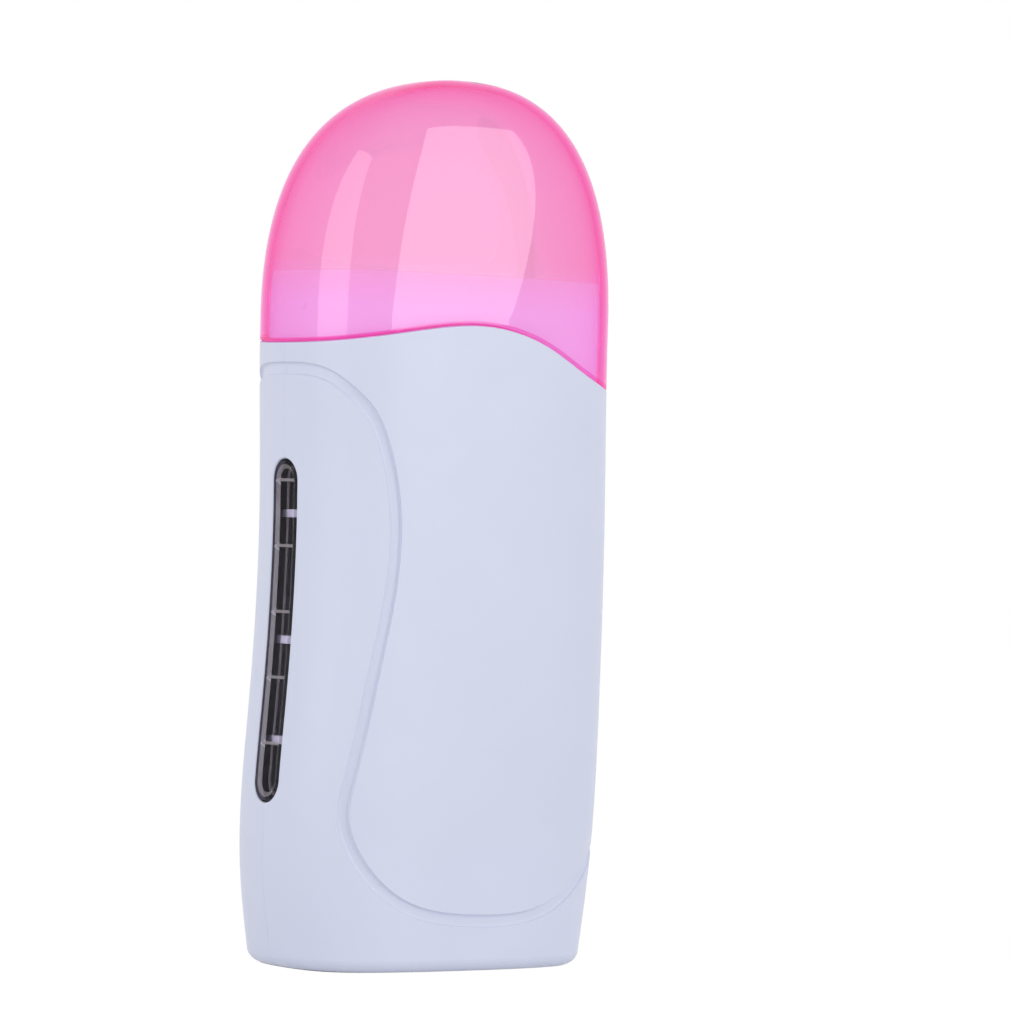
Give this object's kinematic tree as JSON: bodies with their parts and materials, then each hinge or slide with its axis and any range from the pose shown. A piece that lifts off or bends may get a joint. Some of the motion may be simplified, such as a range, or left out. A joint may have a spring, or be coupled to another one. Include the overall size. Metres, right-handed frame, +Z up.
{
  "type": "roll-on wax heater",
  "caption": "Upright hand-held wax cartridge heater with a two-part waisted housing, side sight window, heated chamber, base power inlet and lift-off translucent domed cap.",
  "frame": {"origin": "on the table under the middle of the housing", "axes": "+Z up, +X to the right across the wide front face, -Y out of the front face; the sight window is on the -X side"},
  "size_m": [0.0859, 0.0508, 0.205],
  "materials": {
    "housing": "satin moulded pale lavender",
    "cap": "clear pink, polished",
    "window": "clear, faintly grey, polished",
    "chamber": "black anodised",
    "bar_aluminium": "extruded",
    "heatproof_plastic": "moulded black",
    "mica": "flaky sheet",
    "ceramic": "sintered",
    "contact_metal": "bright",
    "steel": "zinc plated",
    "glass_sleeve": "woven glass fibre",
    "wire_brown": "satin",
    "wire_blue": "satin",
    "wire_white": "satin",
    "lamp_glass": "clear",
    "resistor": "lacquered"
  },
  "bodies": {
    "housing": {"front_shell": "housing", "rear_shell": "housing", "sight_window": "window", "mouth_ring": "housing", "heating_chamber": "chamber", "chamber_floor": "heatproof_plastic", "heat_bar": "bar_aluminium", "mica_sheets": "mica", "ptc_elements": "ceramic", "inner_electrode": "contact_metal", "outer_electrode": "contact_metal", "clamp_plate": "steel", "clamp_screws": "steel", "thermostat": "steel", "thermal_fuse": "steel", "fuse_sleeve": "glass_sleeve", "crimps": "contact_metal", "live_wire": "wire_brown", "neutral_wire": "wire_blue", "link_wire": "wire_white", "heater_wire": "wire_white", "indicator_lamp": "lamp_glass", "lamp_holder": "heatproof_plastic", "lamp_resistor": "resistor", "lamp_wires": "wire_white", "inlet_housing": "heatproof_plastic", "inlet_pins": "contact_metal", "housing_screws": "steel"},
    "cap": {"cap": "cap"}
  },
  "joints": [
    {"name": "cap_lift", "type": "slide", "parent": "housing", "child": "cap", "axis": [0, 0, 1], "range_m": [0, 0.07]}
  ]
}
